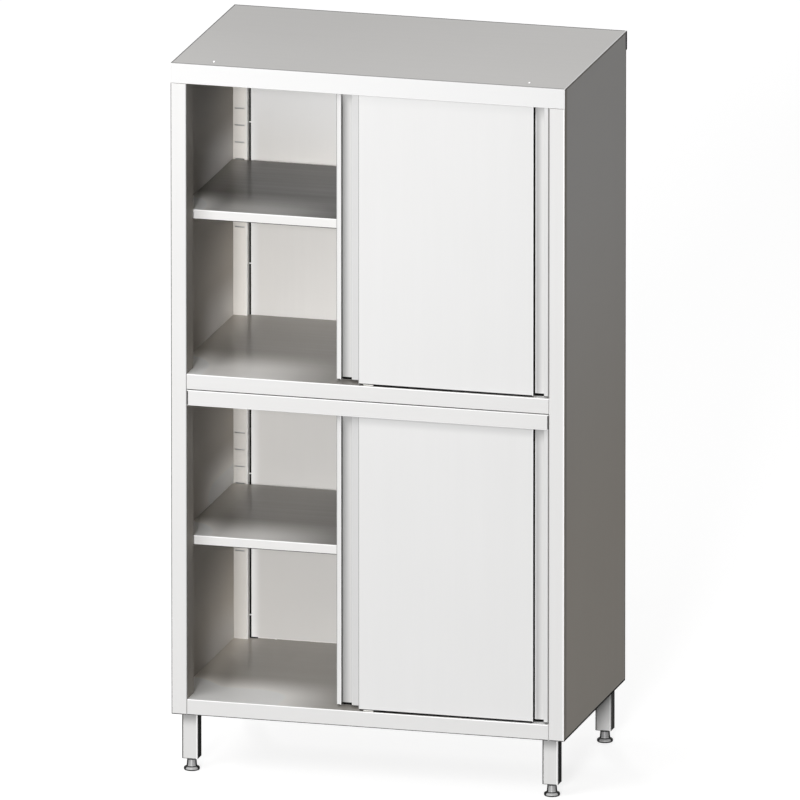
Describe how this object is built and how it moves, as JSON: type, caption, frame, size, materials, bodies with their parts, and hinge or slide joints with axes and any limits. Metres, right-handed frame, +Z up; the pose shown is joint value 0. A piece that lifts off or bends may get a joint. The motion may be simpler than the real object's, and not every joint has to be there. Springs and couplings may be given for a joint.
{
  "type": "sliding door cabinet",
  "caption": "Tall stainless steel cabinet on legs, with sliding doors in two chambers, adjustable shelves on clips and levelling feet.",
  "frame": {"origin": "on the floor, under the middle of the cabinet", "axes": "+Z up, +X to the right as seen from the front, +Y to the back, so the doors face -Y"},
  "size_m": [1, 0.6, 1.8071],
  "materials": {
    "satin_steel": "satin stainless steel sheet",
    "door_steel": "satin stainless steel sheet, the doors",
    "zinc_steel": "plain steel, slightly dull",
    "turned_steel": "bright turned steel",
    "white_nylon": "off-white nylon",
    "black_nylon": "black nylon"
  },
  "bodies": {
    "carcass": {"left_side_panel": "satin_steel", "right_side_panel": "satin_steel", "top_panel": "satin_steel", "back_panel": "satin_steel", "bottom_shelf": "satin_steel", "mid_shelf": "satin_steel", "lower_header": "satin_steel", "leg_front_left": "satin_steel", "leg_front_right": "satin_steel", "leg_rear_left": "satin_steel", "leg_rear_right": "satin_steel", "upper_door_track": "zinc_steel", "lower_door_track": "zinc_steel", "track_screw_left": "turned_steel", "track_screw_right": "turned_steel", "upper_shelf_clip_front_left": "zinc_steel", "upper_shelf_clip_front_right": "zinc_steel", "upper_shelf_clip_rear_left": "zinc_steel", "upper_shelf_clip_rear_right": "zinc_steel", "lower_shelf_clip_front_left": "zinc_steel", "lower_shelf_clip_front_right": "zinc_steel", "lower_shelf_clip_rear_left": "zinc_steel", "lower_shelf_clip_rear_right": "zinc_steel", "upper_door_guide": "white_nylon", "lower_door_guide": "white_nylon", "leg_insert_front_left": "black_nylon", "leg_insert_front_right": "black_nylon", "leg_insert_rear_left": "black_nylon", "leg_insert_rear_right": "black_nylon"},
    "upper_right_door": {"upper_right_door_face": "door_steel", "upper_right_door_back": "door_steel", "upper_right_door_hanger_left": "zinc_steel", "upper_right_door_hanger_right": "zinc_steel"},
    "upper_left_door": {"upper_left_door_face": "door_steel", "upper_left_door_back": "door_steel", "upper_left_door_hanger_left": "zinc_steel", "upper_left_door_hanger_right": "zinc_steel"},
    "lower_right_door": {"lower_right_door_face": "door_steel", "lower_right_door_back": "door_steel", "lower_right_door_hanger_left": "zinc_steel", "lower_right_door_hanger_right": "zinc_steel"},
    "lower_left_door": {"lower_left_door_face": "door_steel", "lower_left_door_back": "door_steel", "lower_left_door_hanger_left": "zinc_steel", "lower_left_door_hanger_right": "zinc_steel"},
    "upper_right_door_roller_left": {"upper_right_door_roller_left": "white_nylon"},
    "upper_right_door_roller_right": {"upper_right_door_roller_right": "white_nylon"},
    "upper_left_door_roller_left": {"upper_left_door_roller_left": "white_nylon"},
    "upper_left_door_roller_right": {"upper_left_door_roller_right": "white_nylon"},
    "lower_right_door_roller_left": {"lower_right_door_roller_left": "white_nylon"},
    "lower_right_door_roller_right": {"lower_right_door_roller_right": "white_nylon"},
    "lower_left_door_roller_left": {"lower_left_door_roller_left": "white_nylon"},
    "lower_left_door_roller_right": {"lower_left_door_roller_right": "white_nylon"},
    "upper_adjustable_shelf": {"upper_adjustable_shelf": "satin_steel"},
    "lower_adjustable_shelf": {"lower_adjustable_shelf": "satin_steel"},
    "foot_front_left": {"foot_front_left": "turned_steel"},
    "foot_front_right": {"foot_front_right": "turned_steel"},
    "foot_rear_left": {"foot_rear_left": "turned_steel"},
    "foot_rear_right": {"foot_rear_right": "turned_steel"}
  },
  "joints": [
    {"name": "upper_right_door_slide", "type": "slide", "parent": "carcass", "child": "upper_right_door", "axis": [1, 0, 0], "range_m": [-0.3695, 0]},
    {"name": "upper_left_door_slide", "type": "slide", "parent": "carcass", "child": "upper_left_door", "axis": [1, 0, 0], "range_m": [-0.3695, 0]},
    {"name": "lower_right_door_slide", "type": "slide", "parent": "carcass", "child": "lower_right_door", "axis": [1, 0, 0], "range_m": [-0.3695, 0]},
    {"name": "lower_left_door_slide", "type": "slide", "parent": "carcass", "child": "lower_left_door", "axis": [1, 0, 0], "range_m": [-0.3695, 0]},
    {"name": "upper_right_door_roller_left_roll", "type": "hinge", "parent": "upper_right_door", "child": "upper_right_door_roller_left", "pos_m": [0.035, -0.2742, 1.788], "axis": [0, 1, 0], "range_deg": [-2492, 0]},
    {"name": "upper_right_door_roller_right_roll", "type": "hinge", "parent": "upper_right_door", "child": "upper_right_door_roller_right", "pos_m": [0.398, -0.2742, 1.788], "axis": [0, 1, 0], "range_deg": [-2492, 0]},
    {"name": "upper_left_door_roller_left_roll", "type": "hinge", "parent": "upper_left_door", "child": "upper_left_door_roller_left", "pos_m": [-0.0285, -0.2452, 1.788], "axis": [0, 1, 0], "range_deg": [-2492, 0]},
    {"name": "upper_left_door_roller_right_roll", "type": "hinge", "parent": "upper_left_door", "child": "upper_left_door_roller_right", "pos_m": [0.3345, -0.2452, 1.788], "axis": [0, 1, 0], "range_deg": [-2492, 0]},
    {"name": "lower_right_door_roller_left_roll", "type": "hinge", "parent": "lower_right_door", "child": "lower_right_door_roller_left", "pos_m": [0.035, -0.2742, 0.9612], "axis": [0, 1, 0], "range_deg": [-2492, 0]},
    {"name": "lower_right_door_roller_right_roll", "type": "hinge", "parent": "lower_right_door", "child": "lower_right_door_roller_right", "pos_m": [0.398, -0.2742, 0.9612], "axis": [0, 1, 0], "range_deg": [-2492, 0]},
    {"name": "lower_left_door_roller_left_roll", "type": "hinge", "parent": "lower_left_door", "child": "lower_left_door_roller_left", "pos_m": [-0.0285, -0.2452, 0.9612], "axis": [0, 1, 0], "range_deg": [-2492, 0]},
    {"name": "lower_left_door_roller_right_roll", "type": "hinge", "parent": "lower_left_door", "child": "lower_left_door_roller_right", "pos_m": [0.3345, -0.2452, 0.9612], "axis": [0, 1, 0], "range_deg": [-2492, 0]},
    {"name": "upper_adjustable_shelf_lift", "type": "slide", "parent": "carcass", "child": "upper_adjustable_shelf", "axis": [0, 0, 1], "range_m": [0, 0.04]},
    {"name": "lower_adjustable_shelf_lift", "type": "slide", "parent": "carcass", "child": "lower_adjustable_shelf", "axis": [0, 0, 1], "range_m": [0, 0.04]},
    {"name": "foot_front_left_screw_out", "type": "slide", "parent": "carcass", "child": "foot_front_left", "axis": [0, 0, 1], "range_m": [-0.02, 0]},
    {"name": "foot_front_right_screw_out", "type": "slide", "parent": "carcass", "child": "foot_front_right", "axis": [0, 0, 1], "range_m": [-0.02, 0]},
    {"name": "foot_rear_left_screw_out", "type": "slide", "parent": "carcass", "child": "foot_rear_left", "axis": [0, 0, 1], "range_m": [-0.02, 0]},
    {"name": "foot_rear_right_screw_out", "type": "slide", "parent": "carcass", "child": "foot_rear_right", "axis": [0, 0, 1], "range_m": [-0.02, 0]}
  ],
  "couplings": [
    {"joint": "upper_right_door_roller_left_roll", "follows": "upper_right_door_slide", "rad_per_m": 117.65},
    {"joint": "upper_right_door_roller_right_roll", "follows": "upper_right_door_slide", "rad_per_m": 117.65},
    {"joint": "upper_left_door_roller_left_roll", "follows": "upper_left_door_slide", "rad_per_m": 117.65},
    {"joint": "upper_left_door_roller_right_roll", "follows": "upper_left_door_slide", "rad_per_m": 117.65},
    {"joint": "lower_right_door_roller_left_roll", "follows": "lower_right_door_slide", "rad_per_m": 117.65},
    {"joint": "lower_right_door_roller_right_roll", "follows": "lower_right_door_slide", "rad_per_m": 117.65},
    {"joint": "lower_left_door_roller_left_roll", "follows": "lower_left_door_slide", "rad_per_m": 117.65},
    {"joint": "lower_left_door_roller_right_roll", "follows": "lower_left_door_slide", "rad_per_m": 117.65}
  ]
}
